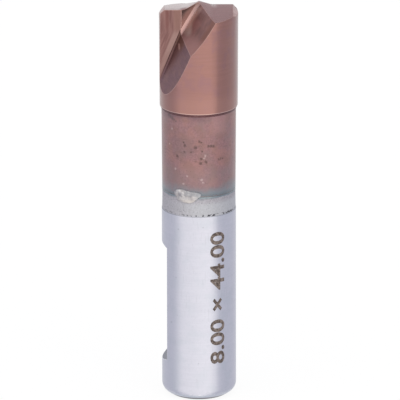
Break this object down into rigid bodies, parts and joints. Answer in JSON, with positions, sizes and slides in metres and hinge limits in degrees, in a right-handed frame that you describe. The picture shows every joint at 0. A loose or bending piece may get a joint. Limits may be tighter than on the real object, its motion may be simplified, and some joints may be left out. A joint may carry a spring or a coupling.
{
  "type": "dowel drill bit",
  "caption": "Short two-lip drill bit: coated carbide head with a low centre point, brazed to a ground steel shank with a clamping flat.",
  "frame": {"origin": "centre of the shank's flat end face", "axes": "+Z along the axis from the shank to the drill point, -X out of the clamping flat, the lips parallel to X"},
  "size_m": [0.0086, 0.0084, 0.044],
  "materials": {
    "coated_carbide": "copper-brown hard coating, ground and glossy on the head, matt on the neck",
    "silver_solder": "pale silver solder, as it ran",
    "ground_steel": "satin ground steel, with a grey pitted band under the joint"
  },
  "bodies": {
    "root": {"cutting_head": "coated_carbide", "braze_joint": "silver_solder", "steel_shank": "ground_steel"}
  },
  "joints": []
}
